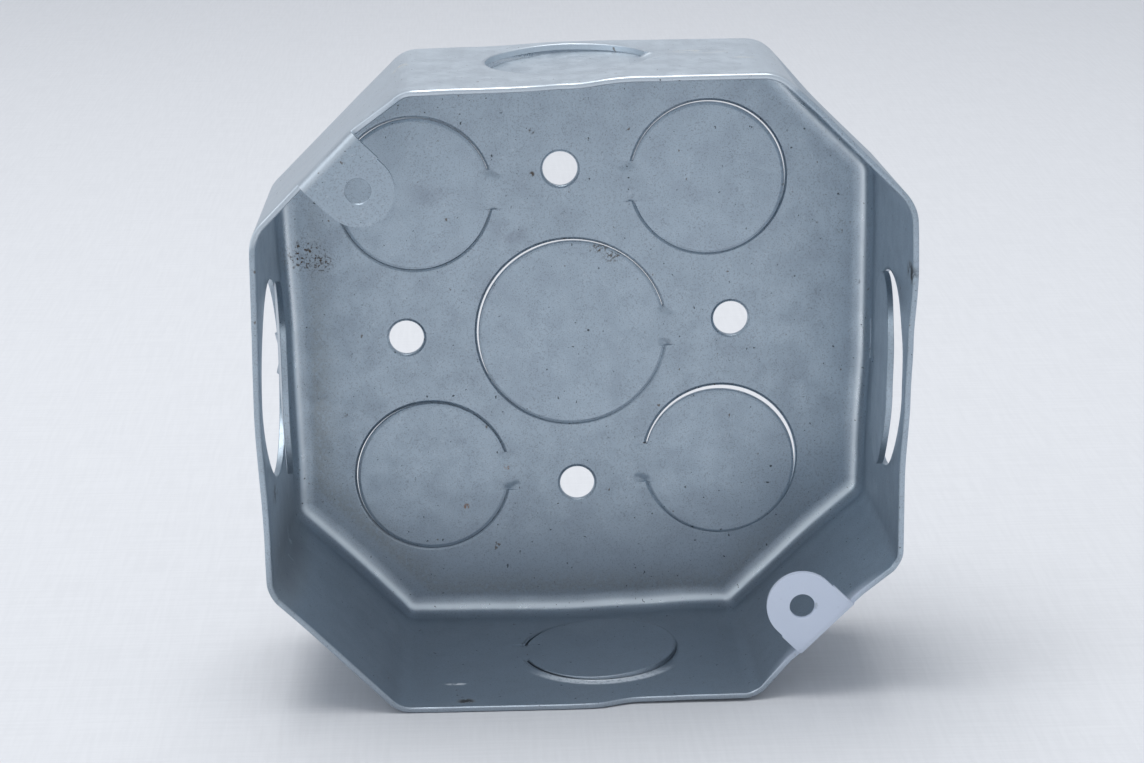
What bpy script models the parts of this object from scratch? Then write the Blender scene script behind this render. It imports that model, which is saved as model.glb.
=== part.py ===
"""Octagonal junction box, drawn in one piece from galvanized sheet steel.

The box stands on its lower wall: +X to the right, +Z up, and the open side faces -Y.
The floor is Z = 0, and X = 0, Y = 0 is the middle of the box.
Every knock-out is a separate disc, held by one tie and pushed a little into the box.
"""

import math

import bmesh
import bpy
from mathutils import Matrix, Vector

# Box
WIDTH = 0.0920
HEIGHT = 0.0920
DEPTH = 0.0381
SHEET = 0.0009
CUT_EAR = 0.0208
CUT_PLAIN = 0.0184
CORNER_RADIUS = 0.0050
BASE_RADIUS = 0.0038
SMALLEST_RADIUS = 0.0009

# Rim: how far the edge stops short of the deepest point, by direction round the box
RIM_DROP = (
    (0, 0.0006), (29, 0.0006), (33, 0.0014), (57, 0.0024), (62, 0.0026), (84, 0.0025),
    (92, 0.0014), (101, 0.0002), (116, 0.0000), (120, 0.0010), (125, 0.0033), (145, 0.0033),
    (150, 0.0012), (155, 0.0005), (205, 0.0005), (240, 0.0001), (262, 0.0000), (271, 0.0001),
    (279, 0.0018), (296, 0.0018), (300, 0.0022), (304, 0.0033), (326, 0.0033), (330, 0.0016),
    (334, 0.0006), (360, 0.0006),
)

# Folded ears with the cover screw holes
EAR_SPACING = 0.0889
EAR_WIDTH = 0.0107
EAR_TIP_RADIUS = 0.00535
EAR_HOLE = 0.0037
EAR_BEND = 0.0006
EAR_STEPS = 5
EAR_WALLS = (3, 7)
EAR_FOLD = 0.0033

# Holes and knock-outs
MOUNT_HOLE = 0.0053
MOUNT_REACH = 0.0249
LARGE_KNOCKOUT = 0.0290
SMALL_KNOCKOUT = 0.0235
CORNER_REACH = 0.0223
PATTERN_SHIFT = (-0.0010, 0.0021)
PATTERN_TURN = math.radians(2.4)
GAP = 0.0003

# Mesh density
CORNER_STEPS = 5
FILLET_STEPS = 6
MAIN_STEPS = 14
LARGE_STEPS = 64
SMALL_STEPS = 24

FRONT = -DEPTH / 2
BACK = DEPTH / 2
MIDDLE = HEIGHT / 2
INNER_BASE = BACK - SHEET
INNER_X = WIDTH / 2 - SHEET
INNER_Z = HEIGHT / 2 - SHEET


def clear_scene():
    for obj in list(bpy.data.objects):
        bpy.data.objects.remove(obj, do_unlink=True)


def material(name, color, roughness, metallic):
    mat = bpy.data.materials.new(name)
    mat.use_nodes = True
    shader = mat.node_tree.nodes["Principled BSDF"]
    shader.inputs["Base Color"].default_value = (*color, 1.0)
    shader.inputs["Roughness"].default_value = roughness
    shader.inputs["Metallic"].default_value = metallic
    return mat


def new_object(name, bm, mat=None):
    bmesh.ops.recalc_face_normals(bm, faces=bm.faces)
    mesh = bpy.data.meshes.new(name)
    bm.to_mesh(mesh)
    bm.free()
    obj = bpy.data.objects.new(name, mesh)
    bpy.context.scene.collection.objects.link(obj)
    if mat:
        mesh.materials.append(mat)
    return obj


def smooth(obj, degrees=40):
    obj.data.shade_smooth()
    obj.data.set_sharp_from_angle(angle=math.radians(degrees))


def hide(obj):
    obj.hide_render = True
    obj.display_type = "WIRE"
    return obj


# ---------------------------------------------------------------- shell


def wall_reach(index):
    """Distance from the middle of the box to wall 0..7; wall 0 faces +X and they run anticlockwise."""
    if index % 2 == 0:
        return (WIDTH if index % 4 == 0 else HEIGHT) / 2
    cut = CUT_EAR if index in EAR_WALLS else CUT_PLAIN
    return (WIDTH / 2 + HEIGHT / 2 - cut) / math.sqrt(2)


def wall_normal(index):
    angle = math.radians(45 * index)
    return Vector((math.cos(angle), math.sin(angle)))


def meeting_point(first, second, inset):
    """Where two neighbouring walls meet, once both have moved inwards by inset."""
    n1, n2 = wall_normal(first), wall_normal(second)
    d1, d2 = wall_reach(first) - inset, wall_reach(second) - inset
    cross = n1.x * n2.y - n1.y * n2.x
    return Vector(((d1 * n2.y - d2 * n1.y) / cross, (d2 * n1.x - d1 * n2.x) / cross))


def wall_fractions(index):
    """Where a flat wall is divided, as shares of its length; an ear's two sides fall on a division."""
    if index not in EAR_WALLS:
        steps = MAIN_STEPS if index % 2 == 0 else 5
        return [i / steps for i in range(1, steps)]
    return None


def outline(inset):
    """One ring of points (x, z) round the box, with wall and corner points in a fixed order."""
    radius = max(CORNER_RADIUS - inset, SMALLEST_RADIUS)
    arcs = []
    for index in range(8):
        centre = meeting_point(index, (index + 1) % 8, inset + radius)
        start = math.radians(45 * index)
        arcs.append([
            centre + radius * Vector((math.cos(a), math.sin(a)))
            for a in (start + math.radians(45) * s / CORNER_STEPS for s in range(CORNER_STEPS + 1))
        ])
    ring = []
    for index in range(8):
        begin, end = arcs[index - 1][-1], arcs[index][0]
        if index in EAR_WALLS:
            along = Vector((-wall_normal(index).y, wall_normal(index).x))
            middle = wall_normal(index) * (wall_reach(index) - inset)
            stops = [-0.75, -0.5, -0.5 / 3, 0.5 / 3, 0.5, 0.75]
            ring += [middle + along * EAR_WIDTH * s for s in stops]
        else:
            ring += [begin.lerp(end, f) for f in wall_fractions(index)]
        ring += arcs[index]
    return ring


def rim_drop(point):
    """Height of the rim edge at this point, measured back from the deepest part of the rim."""
    angle = math.degrees(math.atan2(point.y, point.x)) % 360
    for (a0, d0), (a1, d1) in zip(RIM_DROP, RIM_DROP[1:]):
        if a0 <= angle <= a1:
            share = (angle - a0) / (a1 - a0)
            return d0 + (d1 - d0) * share * share * (3 - 2 * share)
    return 0.0


def ring_of_vertices(bm, inset, depth, follow_rim=0.0, drops=None):
    ring = []
    for i, point in enumerate(outline(inset)):
        y = depth + follow_rim * (drops[i] if drops else 0.0)
        ring.append(bm.verts.new((point.x, y, MIDDLE + point.y)))
    return ring


def bridge(bm, first, second):
    count = len(first)
    for i in range(count):
        j = (i + 1) % count
        bm.faces.new((first[i], first[j], second[j], second[i]))


def fillet_stations(surface_inset):
    """(inset, depth) of the rings round the curve from a wall into the base."""
    radius = BASE_RADIUS - surface_inset
    centre_inset, centre_y = BASE_RADIUS, BACK - BASE_RADIUS
    stations = []
    for step in range(FILLET_STEPS + 1):
        a = math.radians(90) * step / FILLET_STEPS
        stations.append((centre_inset - radius * math.cos(a), centre_y + radius * math.sin(a)))
    return stations


def drawn_body(mat):
    """The open octagonal cup: outer skin, inner skin and the wavy rim that joins them."""
    bm = bmesh.new()
    drops = [rim_drop(p) for p in outline(0.0)]
    skins = []
    for inset in (0.0, SHEET):
        rings = [ring_of_vertices(bm, inset, FRONT, 1.0, drops)]
        rings.append(ring_of_vertices(bm, inset, FRONT + 0.0055, 0.35, drops))
        rings += [ring_of_vertices(bm, i, y) for i, y in fillet_stations(inset)]
        for a, b in zip(rings, rings[1:]):
            bridge(bm, a, b)
        bm.faces.new(rings[-1])
        skins.append(rings[0])
    bridge(bm, *skins)
    bm.normal_update()
    for index in EAR_WALLS:
        fold_ear(bm, index)
    return new_object("shell", bm, mat)


def fold_ear(bm, index):
    """Extends the rim of a diagonal wall and folds it inwards through a right angle."""
    normal = Vector((wall_normal(index).x, 0.0, wall_normal(index).y))
    along = Vector((-normal.z, 0.0, normal.x))
    reach = wall_reach(index)
    chosen = []
    for face in bm.faces:
        centre = face.calc_center_median() - Vector((0.0, 0.0, MIDDLE))
        inside = reach - SHEET < centre.dot(normal) < reach
        if inside and abs(centre.dot(along)) < EAR_WIDTH / 2 and centre.y < FRONT + EAR_FOLD + 0.0005:
            chosen.append(face)
    pivot = normal * (reach - SHEET - EAR_BEND) + Vector((0.0, FRONT + EAR_FOLD, MIDDLE))
    turn = math.radians(90) / EAR_STEPS
    if (Matrix.Rotation(turn, 3, along) @ normal).y > 0:
        turn = -turn
    for _ in range(EAR_STEPS):
        chosen = extrude(bm, chosen)
        verts = list({v for f in chosen for v in f.verts})
        bmesh.ops.rotate(bm, cent=pivot, matrix=Matrix.Rotation(turn, 3, along), verts=verts)
    tip = reach - EAR_SPACING / 2 + EAR_TIP_RADIUS
    chosen = extrude(bm, chosen)
    verts = list({v for f in chosen for v in f.verts})
    bmesh.ops.translate(bm, vec=-normal * (tip - SHEET - EAR_BEND), verts=verts)


def extrude(bm, faces):
    made = bmesh.ops.extrude_face_region(bm, geom=faces)["geom"]
    bmesh.ops.delete(bm, geom=faces, context="FACES_ONLY")
    return [g for g in made if isinstance(g, bmesh.types.BMFace)]


# ---------------------------------------------------------------- cutters


def add_cylinder(bm, diameter, length, centre, axis, steps):
    turn = Vector((0.0, 0.0, 1.0)).rotation_difference(axis).to_matrix().to_4x4()
    bmesh.ops.create_cone(
        bm, cap_ends=True, segments=steps, radius1=diameter / 2, radius2=diameter / 2,
        depth=length, matrix=Matrix.Translation(centre) @ turn,
    )


def base_point(x, z):
    """A point of the punched pattern on the inner face of the base."""
    c, s = math.cos(PATTERN_TURN), math.sin(PATTERN_TURN)
    return Vector((
        PATTERN_SHIFT[0] + x * c - z * s,
        INNER_BASE,
        MIDDLE + PATTERN_SHIFT[1] + x * s + z * c,
    ))


AWAY = Vector((0.0, 1.0, 0.0))
LEFT, RIGHT = Vector((-1.0, 0.0, 0.0)), Vector((1.0, 0.0, 0.0))
UP, DOWN = Vector((0.0, 0.0, 1.0)), Vector((0.0, 0.0, -1.0))

# Knock-outs: name, diameter, centre on the inner face, outward direction, direction of the tie,
# and how far the disc stands open
KNOCKOUTS = (
    ("knockout_centre", LARGE_KNOCKOUT, base_point(0.0004, -0.0006), AWAY, RIGHT, 1.5),
    ("knockout_upper_left", SMALL_KNOCKOUT, base_point(-CORNER_REACH, CORNER_REACH), AWAY, RIGHT, 0.8),
    ("knockout_upper_right", SMALL_KNOCKOUT, base_point(CORNER_REACH, CORNER_REACH), AWAY, LEFT, 1.8),
    ("knockout_lower_left", SMALL_KNOCKOUT, base_point(-CORNER_REACH, -CORNER_REACH), AWAY, RIGHT, 1.2),
    ("knockout_lower_right", SMALL_KNOCKOUT, base_point(CORNER_REACH, -CORNER_REACH), AWAY, LEFT, 3.0),
    ("knockout_top", SMALL_KNOCKOUT, Vector((-0.0015, 0.0015, MIDDLE + INNER_Z)), UP, RIGHT, 4.0),
    ("knockout_bottom", SMALL_KNOCKOUT, Vector((0.0025, 0.0016, MIDDLE - INNER_Z)), DOWN, LEFT, 2.0),
    ("knockout_left", LARGE_KNOCKOUT, Vector((-INNER_X, -0.0009, MIDDLE + 0.0003)), LEFT, AWAY, 7.5),
    ("knockout_right", LARGE_KNOCKOUT, Vector((INNER_X, -0.0009, MIDDLE)), RIGHT, AWAY, 4.3),
)


def pattern_direction(direction, outward):
    """The ties of the base follow the turned pattern; those of the walls follow the walls."""
    if outward == AWAY:
        return Matrix.Rotation(-PATTERN_TURN, 3, "Y") @ direction
    return direction


def hole_cutters():
    bm = bmesh.new()
    for x, z in ((0, 1), (-1, 0), (1, 0), (0, -1)):
        point = base_point(x * MOUNT_REACH, z * MOUNT_REACH)
        add_cylinder(bm, MOUNT_HOLE, 0.006, point, AWAY, SMALL_STEPS)
    for _, diameter, centre, outward, _, _ in KNOCKOUTS:
        add_cylinder(bm, diameter, 0.006, centre + outward * SHEET / 2, outward, LARGE_STEPS)
    for index in EAR_WALLS:
        normal = Vector((wall_normal(index).x, 0.0, wall_normal(index).y))
        point = normal * EAR_SPACING / 2 + Vector((0.0, FRONT + EAR_FOLD, MIDDLE))
        add_cylinder(bm, EAR_HOLE, 0.008, point, AWAY, SMALL_STEPS)
    return hide(new_object("hole_cutters", bm))


def ear_trimmer():
    """Rounds both ear tips: a block on each tip with a round pocket round the screw hole."""
    bm = bmesh.new()
    for index in EAR_WALLS:
        normal = Vector((wall_normal(index).x, 0.0, wall_normal(index).y))
        along = Vector((-normal.z, 0.0, normal.x))
        hole = normal * EAR_SPACING / 2 + Vector((0.0, FRONT + EAR_FOLD, MIDDLE))
        wide = EAR_WIDTH / 2 + 0.001
        reach = EAR_TIP_RADIUS + 0.001
        plan = [(wide, 0.0), (wide, reach), (-wide, reach), (-wide, 0.0)]
        for step in range(17):
            a = math.radians(180 - 180 * step / 16)
            plan.append((EAR_TIP_RADIUS * math.cos(a), EAR_TIP_RADIUS * math.sin(a)))
        front = [bm.verts.new(hole + along * u - normal * v - AWAY * 0.004) for u, v in plan]
        back = [bm.verts.new(hole + along * u - normal * v + AWAY * 0.004) for u, v in plan]
        bm.faces.new(front)
        bm.faces.new(back)
        bridge(bm, front, back)
    return hide(new_object("ear_trimmer", bm))


def cut(obj, cutter, name):
    modifier = obj.modifiers.new(name, "BOOLEAN")
    modifier.operation = "DIFFERENCE"
    modifier.solver = "EXACT"
    modifier.object = cutter


# ---------------------------------------------------------------- knock-out discs


def knockout(name, diameter, centre, outward, tie, open_degrees, mat):
    """A disc whose origin is its tie, on the inner face of the sheet; local X runs along the hinge."""
    radius = diameter / 2 - GAP
    tie = pattern_direction(tie, outward)
    pivot = centre + tie * diameter / 2
    hinge = tie.cross(outward).normalized()
    frame = Matrix((hinge, tie, outward)).transposed()
    bm = bmesh.new()
    middle = Vector((0.0, -diameter / 2, SHEET / 2))
    add_cylinder(bm, 2 * radius, SHEET, middle, Vector((0.0, 0.0, 1.0)), LARGE_STEPS)
    obj = new_object(name, bm, mat)
    swing = Matrix.Rotation(math.radians(open_degrees), 3, "X")
    if (frame @ swing @ Vector((0.0, -1.0, 0.0))).dot(outward) > 0:
        swing.transpose()
    obj.matrix_world = Matrix.Translation(pivot) @ (frame @ swing).to_4x4()
    edge = obj.modifiers.new("burr", "BEVEL")
    edge.width = 0.00012
    edge.segments = 1
    edge.limit_method = "ANGLE"
    edge.angle_limit = math.radians(60)
    smooth(obj)
    return obj


clear_scene()
shell = drawn_body(material("galvanized_shell", (0.42, 0.47, 0.53), 0.42, 0.9))
cut(shell, ear_trimmer(), "round_tips")
cut(shell, hole_cutters(), "holes")
smooth(shell)
for row in KNOCKOUTS:
    knockout(*row, material("galvanized_" + row[0], (0.45, 0.50, 0.56), 0.40, 0.9))
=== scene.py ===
"""Looks of the octagonal junction box: sheet-steel skin, knock-out discs, their ties, and the studio."""

import math

import bmesh
import bpy
from mathutils import Matrix, Vector, noise


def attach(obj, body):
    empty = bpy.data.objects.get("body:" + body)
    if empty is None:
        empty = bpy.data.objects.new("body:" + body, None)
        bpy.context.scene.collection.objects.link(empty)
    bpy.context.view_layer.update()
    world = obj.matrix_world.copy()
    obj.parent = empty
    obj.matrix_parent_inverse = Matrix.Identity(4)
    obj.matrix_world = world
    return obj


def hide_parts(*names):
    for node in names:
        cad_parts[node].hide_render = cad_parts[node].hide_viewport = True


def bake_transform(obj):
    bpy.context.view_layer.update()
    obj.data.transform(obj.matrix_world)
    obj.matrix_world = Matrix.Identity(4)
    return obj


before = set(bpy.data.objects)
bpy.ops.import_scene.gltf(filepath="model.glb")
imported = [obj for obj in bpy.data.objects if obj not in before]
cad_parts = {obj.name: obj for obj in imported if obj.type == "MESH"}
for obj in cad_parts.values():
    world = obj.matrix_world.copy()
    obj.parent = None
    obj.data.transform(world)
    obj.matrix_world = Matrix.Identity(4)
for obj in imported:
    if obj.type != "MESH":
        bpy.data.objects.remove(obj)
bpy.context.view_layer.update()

# ---------------------------------------------------------------- dimensions, as in the CAD

WIDTH = HEIGHT = 0.0920
DEPTH = 0.0381
SHEET = 0.0009
CUT_EAR, CUT_PLAIN = 0.0208, 0.0184
CORNER_RADIUS, BASE_RADIUS, SMALLEST_RADIUS = 0.0050, 0.0038, 0.0009
FRONT, BACK, MIDDLE = -DEPTH / 2, DEPTH / 2, HEIGHT / 2
INNER_BASE = BACK - SHEET
INNER_X, INNER_Z = WIDTH / 2 - SHEET, HEIGHT / 2 - SHEET

# how far the untrimmed rim stops short of the front plane, by angle round the box
RIM_DROP = (
    (0, 0.0006), (29, 0.0006), (33, 0.0014), (57, 0.0024), (62, 0.0026), (84, 0.0025),
    (92, 0.0014), (101, 0.0002), (116, 0.0000), (120, 0.0010), (125, 0.0033), (145, 0.0033),
    (150, 0.0012), (155, 0.0005), (205, 0.0005), (240, 0.0001), (262, 0.0000), (271, 0.0001),
    (279, 0.0018), (296, 0.0018), (300, 0.0022), (304, 0.0033), (326, 0.0033), (330, 0.0016),
    (334, 0.0006), (360, 0.0006),
)

EAR_WALLS = (3, 7)
EAR_SPACING, EAR_WIDTH, EAR_TIP_RADIUS = 0.0889, 0.0107, 0.00535
EAR_HOLE, EAR_BEND, EAR_FOLD = 0.0037, 0.0006, 0.0033

MOUNT_HOLE, MOUNT_REACH = 0.0053, 0.0249
LARGE_KNOCKOUT, SMALL_KNOCKOUT = 0.0290, 0.0235
CORNER_REACH = 0.0223
PATTERN_SHIFT = (-0.0010, 0.0021)
PATTERN_TURN = math.radians(2.4)

# ---------------------------------------------------------------- dimensions that only the skin has

# how far the real walls stand out from the true octagon, by angle, at the rim and at the base
RIM_SPREAD = (
    (0, 0.0006), (10, 0.0009), (22, 0.0015), (33, 0.0013), (50, 0.0013), (58, 0.0010),
    (80, 0.0009), (92, 0.0002), (110, 0.0000), (122, -0.0003), (130, 0.0007), (144, 0.0007),
    (152, 0.0009), (180, 0.0011), (205, 0.0003), (220, 0.0000), (262, 0.0000), (300, -0.0003),
    (304, -0.0005), (310, -0.0002), (330, 0.0000), (345, 0.0000), (360, 0.0006),
)
BASE_SPREAD = (
    (0, 0.0002), (22, 0.0002), (45, 0.0000), (60, 0.0008), (90, 0.00085), (108, 0.0002),
    (120, 0.0000), (150, 0.0000), (180, -0.0010), (204, -0.0014), (225, -0.0018), (248, -0.0014),
    (268, -0.0012), (280, -0.0016), (292, -0.0021), (315, -0.0017), (338, -0.0006), (360, 0.0002),
)

CORNER_TURN = 5.0  # the lean turns to the next wall's direction within this many degrees of a corner
RIM_ROUND, EDGE_BREAK = 0.00036, 0.00008
RAGGED_SCALE, RAGGED_DEPTH = 420, 0.00008  # the small waves of the rim, which the ears don't have
EAR_STRETCHES = ((121, 149), (300, 330))  # the angles that hold an ear

TIE_HALF_WIDTH, TIE_HALF_LENGTH = 0.0031, 0.0026
TIE_BEND = 0.0016  # half the length over which a tie takes up the turn of its disc
PINCH_DEPTH = 0.00034

THREAD_DEPTH, THREAD_PITCH = 0.00022, 0.0004
CUT_PAST = 0.002  # reach of the cutters on either side of the sheet

CORNER_STEPS, FILLET_STEPS, RIM_STEPS, WALL_STEPS = 10, 12, 3, 12
MAIN_STEPS, DIAGONAL_STEPS, EAR_COLUMNS, EAR_ROWS = 44, 14, 12, 10
DISC_STEPS, MOUNT_STEPS, EAR_HOLE_STEPS, TIP_STEPS = 160, 64, 48, 40
DISC_RINGS = 8
TIE_ROWS, TIE_COLUMNS = 28, 34

PLAIN, CUT = 0, 1  # material slots

AWAY = Vector((0.0, 1.0, 0.0))
LEFT, RIGHT = Vector((-1.0, 0.0, 0.0)), Vector((1.0, 0.0, 0.0))
UP, DOWN = Vector((0.0, 0.0, 1.0)), Vector((0.0, 0.0, -1.0))


# ---------------------------------------------------------------- mesh helpers


def link_mesh(name, bm):
    mesh = bpy.data.meshes.new(name)
    bm.to_mesh(mesh)
    bm.free()
    obj = bpy.data.objects.new(name, mesh)
    bpy.context.scene.collection.objects.link(obj)
    return obj


def new_solid(name, bm):
    bmesh.ops.recalc_face_normals(bm, faces=bm.faces)
    return link_mesh(name, bm)


def smooth(obj, degrees=28):
    """Smooth shading, with every edge kept sharp that turns by more than the angle."""
    obj.data.shade_smooth()
    obj.data.set_sharp_from_angle(angle=math.radians(degrees))


def apply_modifiers(obj):
    graph = bpy.context.evaluated_depsgraph_get()
    mesh = bpy.data.meshes.new_from_object(obj.evaluated_get(graph))
    obj.modifiers.clear()
    old = obj.data
    obj.data = mesh
    bpy.data.meshes.remove(old)


def cut_away(obj, cutter):
    """Takes the cutter out of obj, and then removes the cutter."""
    modifier = obj.modifiers.new("cut", "BOOLEAN")
    modifier.operation = "DIFFERENCE"
    modifier.solver = "EXACT"
    modifier.object = cutter
    apply_modifiers(obj)
    bpy.data.objects.remove(cutter, do_unlink=True)


def bridge(bm, first, second):
    """Faces between two closed rings of as many vertices."""
    count = len(first)
    for i in range(count):
        j = (i + 1) % count
        bm.faces.new((first[i], first[j], second[j], second[i]))


def lathe(bm, profile, centre, axis, steps):
    """A closed body turned round axis from (radius, height) pairs that run from one end to the other."""
    turn = Vector((0.0, 0.0, 1.0)).rotation_difference(axis).to_matrix()
    rings = []
    for radius, height in profile:
        ring = []
        for s in range(steps):
            angle = 2 * math.pi * s / steps
            local = Vector((radius * math.cos(angle), radius * math.sin(angle), height))
            ring.append(bm.verts.new(centre + turn @ local))
        rings.append(ring)
    for near, far in zip(rings, rings[1:]):
        bridge(bm, near, far)
    bm.faces.new(rings[0])
    bm.faces.new(rings[-1])


def block(bm, centre, along, across, up, half_along, half_across, half_up):
    """A rectangular block round centre, with its sides along three directions."""
    square = ((-1, -1), (1, -1), (1, 1), (-1, 1))
    corners = {}
    for a in (-1, 1):
        for b in (-1, 1):
            for c in (-1, 1):
                place = centre + along * half_along * a + across * half_across * b + up * half_up * c
                corners[a, b, c] = bm.verts.new(place)
    for sign in (-1, 1):
        bm.faces.new([corners[sign, b, c] for b, c in square])
        bm.faces.new([corners[b, sign, c] for b, c in square])
        bm.faces.new([corners[b, c, sign] for b, c in square])


# ---------------------------------------------------------------- shell


def wall_reach(index):
    """Distance of a wall's outer face from the middle; walls are counted from +X, towards +Z."""
    if index % 2 == 0:
        return WIDTH / 2
    cut = CUT_EAR if index in EAR_WALLS else CUT_PLAIN
    return (WIDTH - cut) / math.sqrt(2)


def wall_normal(index):
    angle = math.radians(45 * index)
    return Vector((math.cos(angle), math.sin(angle)))


def wall_frame(index):
    """(outward direction, direction along the rim) of a wall, in the scene's own axes."""
    outward = Vector((wall_normal(index).x, 0.0, wall_normal(index).y))
    return outward, Vector((-outward.z, 0.0, outward.x))


def meeting_point(first, second, inset):
    """Where two neighbouring walls would meet, at a depth inside their outer faces."""
    n1, n2 = wall_normal(first), wall_normal(second)
    d1, d2 = wall_reach(first) - inset, wall_reach(second) - inset
    cross = n1.x * n2.y - n1.y * n2.x
    return Vector(((d1 * n2.y - d2 * n1.y) / cross, (d2 * n1.x - d1 * n2.x) / cross))


def outline(inset):
    """The rounded octagon at a depth inside the outer faces, with close columns at the ears."""
    radius = max(CORNER_RADIUS - inset, SMALLEST_RADIUS)
    arcs = []
    for index in range(8):
        centre = meeting_point(index, (index + 1) % 8, inset + radius)
        start = math.radians(45 * index)
        arc = []
        for s in range(CORNER_STEPS + 1):
            a = start + math.radians(45) * s / CORNER_STEPS
            arc.append(centre + radius * Vector((math.cos(a), math.sin(a))))
        arcs.append(arc)
    ring = []
    for index in range(8):
        begin, end = arcs[index - 1][-1], arcs[index][0]
        if index in EAR_WALLS:
            along = Vector((-wall_normal(index).y, wall_normal(index).x))
            middle = wall_normal(index) * (wall_reach(index) - inset)
            half = EAR_WIDTH / 2
            near, far = half * 1.15, half * 1.35
            stops = [-far, -near]
            stops += [half * (2 * s / EAR_COLUMNS - 1) for s in range(EAR_COLUMNS + 1)]
            stops += [near, far]
            ring += [middle + along * s for s in stops]
        else:
            steps = MAIN_STEPS if index % 2 == 0 else DIAGONAL_STEPS
            ring += [begin.lerp(end, i / steps) for i in range(1, steps)]
        ring += arcs[index]
    return ring


def ease(share):
    """0 to 1, slow at both ends."""
    share = max(0.0, min(1.0, share))
    return share * share * (3 - 2 * share)


def around(table, degrees):
    """The value of a table of (angle, value) pairs at an angle."""
    for (a0, v0), (a1, v1) in zip(table, table[1:]):
        if a0 <= degrees <= a1:
            return v0 + (v1 - v0) * ease((degrees - a0) / (a1 - a0))
    return table[0][1]


def bearing(across, up):
    """Angle round the box in degrees, from +X towards +Z."""
    return math.degrees(math.atan2(up, across)) % 360


def rim_drop(point):
    angle = bearing(point.x, point.y)
    if any(first < angle < last for first, last in EAR_STRETCHES):
        return around(RIM_DROP, angle)
    ragged = noise.noise(Vector((point.x, point.y, 0.0)) * RAGGED_SCALE) * RAGGED_DEPTH
    return around(RIM_DROP, angle) + ragged


def facing_of(degrees):
    """Outward direction of the walls at an angle, turned smoothly through each corner."""
    for index in range(8):
        corner = meeting_point(index, (index + 1) % 8, 0.0)
        past = (degrees - bearing(corner.x, corner.y) + 180) % 360 - 180
        # each corner answers for the end of one wall and the start of the next
        if -30 < past < 15:
            turned = math.radians(45 * index + 45 * ease((past + CORNER_TURN) / (2 * CORNER_TURN)))
            return Vector((math.cos(turned), 0.0, math.sin(turned)))
    return Vector((math.cos(math.radians(degrees)), 0.0, math.sin(math.radians(degrees))))


def leaned(point):
    """Where a point of the true octagon sits in the real box, whose walls lean and bulge a little.

    The lean fades out between two depths inside the walls, so that the base stays where it is.
    """
    across, up = point.x, point.z - MIDDLE
    angle = bearing(across, up)
    depth = min(wall_reach(i) - Vector((across, up)).dot(wall_normal(i)) for i in range(8))
    share = max(0.0, min(1.0, (point.y - FRONT) / DEPTH))
    fade_start, fade_end = 0.0015 + 0.0025 * share, 0.0036 + 0.0046 * share
    held = 1 - ease((depth - fade_start) / (fade_end - fade_start))
    spread = around(RIM_SPREAD, angle) * (1 - share) + around(BASE_SPREAD, angle) * share
    return point + facing_of(angle) * spread * held


def ring_of_vertices(bm, points, y, drops=None, share=1.0):
    """Vertices of an outline at y, each moved back by its share of the rim's drop there."""
    ring = []
    for i, point in enumerate(points):
        fall = share * drops[i] if drops else 0.0
        ring.append(bm.verts.new((point.x, y + fall, MIDDLE + point.y)))
    return ring


def skin_rings(bm, surface_inset, drops):
    """Rings of one skin, from the rounded rim edge to the middle of the base."""
    toward_sheet = 1 if surface_inset == 0.0 else -1
    rings = []
    for step in range(RIM_STEPS):
        turn = math.radians(90) * step / RIM_STEPS
        inset = surface_inset + toward_sheet * RIM_ROUND * (1 - math.sin(turn))
        y = FRONT + RIM_ROUND * (1 - math.cos(turn))
        rings.append(ring_of_vertices(bm, outline(inset), y, drops))
    points = outline(surface_inset)
    top, bottom = FRONT + RIM_ROUND, BACK - BASE_RADIUS
    for step in range(WALL_STEPS):
        share = step / WALL_STEPS
        fade = (1 - share) ** 2
        y = top + (bottom - top) * share
        rings.append(ring_of_vertices(bm, points, y, drops, fade))
    radius = BASE_RADIUS - surface_inset
    for step in range(FILLET_STEPS + 1):
        turn = math.radians(90) * step / FILLET_STEPS
        inset = BASE_RADIUS - radius * math.cos(turn)
        rings.append(ring_of_vertices(bm, outline(inset), BACK - BASE_RADIUS + radius * math.sin(turn)))
    flat_margin = 0.0004
    rings.append(ring_of_vertices(bm, outline(BASE_RADIUS + flat_margin), BACK - surface_inset))
    return rings


def extrude(bm, faces):
    """Extrudes faces and returns the new ones, which are still to be moved."""
    made = bmesh.ops.extrude_face_region(bm, geom=faces)["geom"]
    bmesh.ops.delete(bm, geom=faces, context="FACES_ONLY")
    return [g for g in made if isinstance(g, bmesh.types.BMFace)]


def fold_ear(bm, index):
    """Bends a tab in from the rim of a wall: the rim faces there turn inwards and then run on to the tip."""
    normal, along = wall_frame(index)
    reach = wall_reach(index)
    slack, rim_slack = 1e-5, 0.0002
    chosen = []
    for face in bm.faces:
        centre = face.calc_center_median() - Vector((0.0, 0.0, MIDDLE))
        inside = reach - SHEET - slack < centre.dot(normal) < reach + slack
        at_rim = centre.y < FRONT + EAR_FOLD + rim_slack
        if inside and at_rim and abs(centre.dot(along)) < EAR_WIDTH / 2:
            chosen.append(face)
    pivot = normal * (reach - SHEET - EAR_BEND) + Vector((0.0, FRONT + EAR_FOLD, MIDDLE))
    turn = math.radians(90) / EAR_ROWS
    if (Matrix.Rotation(turn, 3, along) @ normal).y > 0:
        turn = -turn
    for _ in range(EAR_ROWS):
        chosen = extrude(bm, chosen)
        verts = list({v for f in chosen for v in f.verts})
        bmesh.ops.rotate(bm, cent=pivot, matrix=Matrix.Rotation(turn, 3, along), verts=verts)
    tip = reach - EAR_SPACING / 2 + EAR_TIP_RADIUS
    chosen = extrude(bm, chosen)
    verts = list({v for f in chosen for v in f.verts})
    bmesh.ops.translate(bm, vec=-normal * (tip - SHEET - EAR_BEND), verts=verts)


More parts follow.
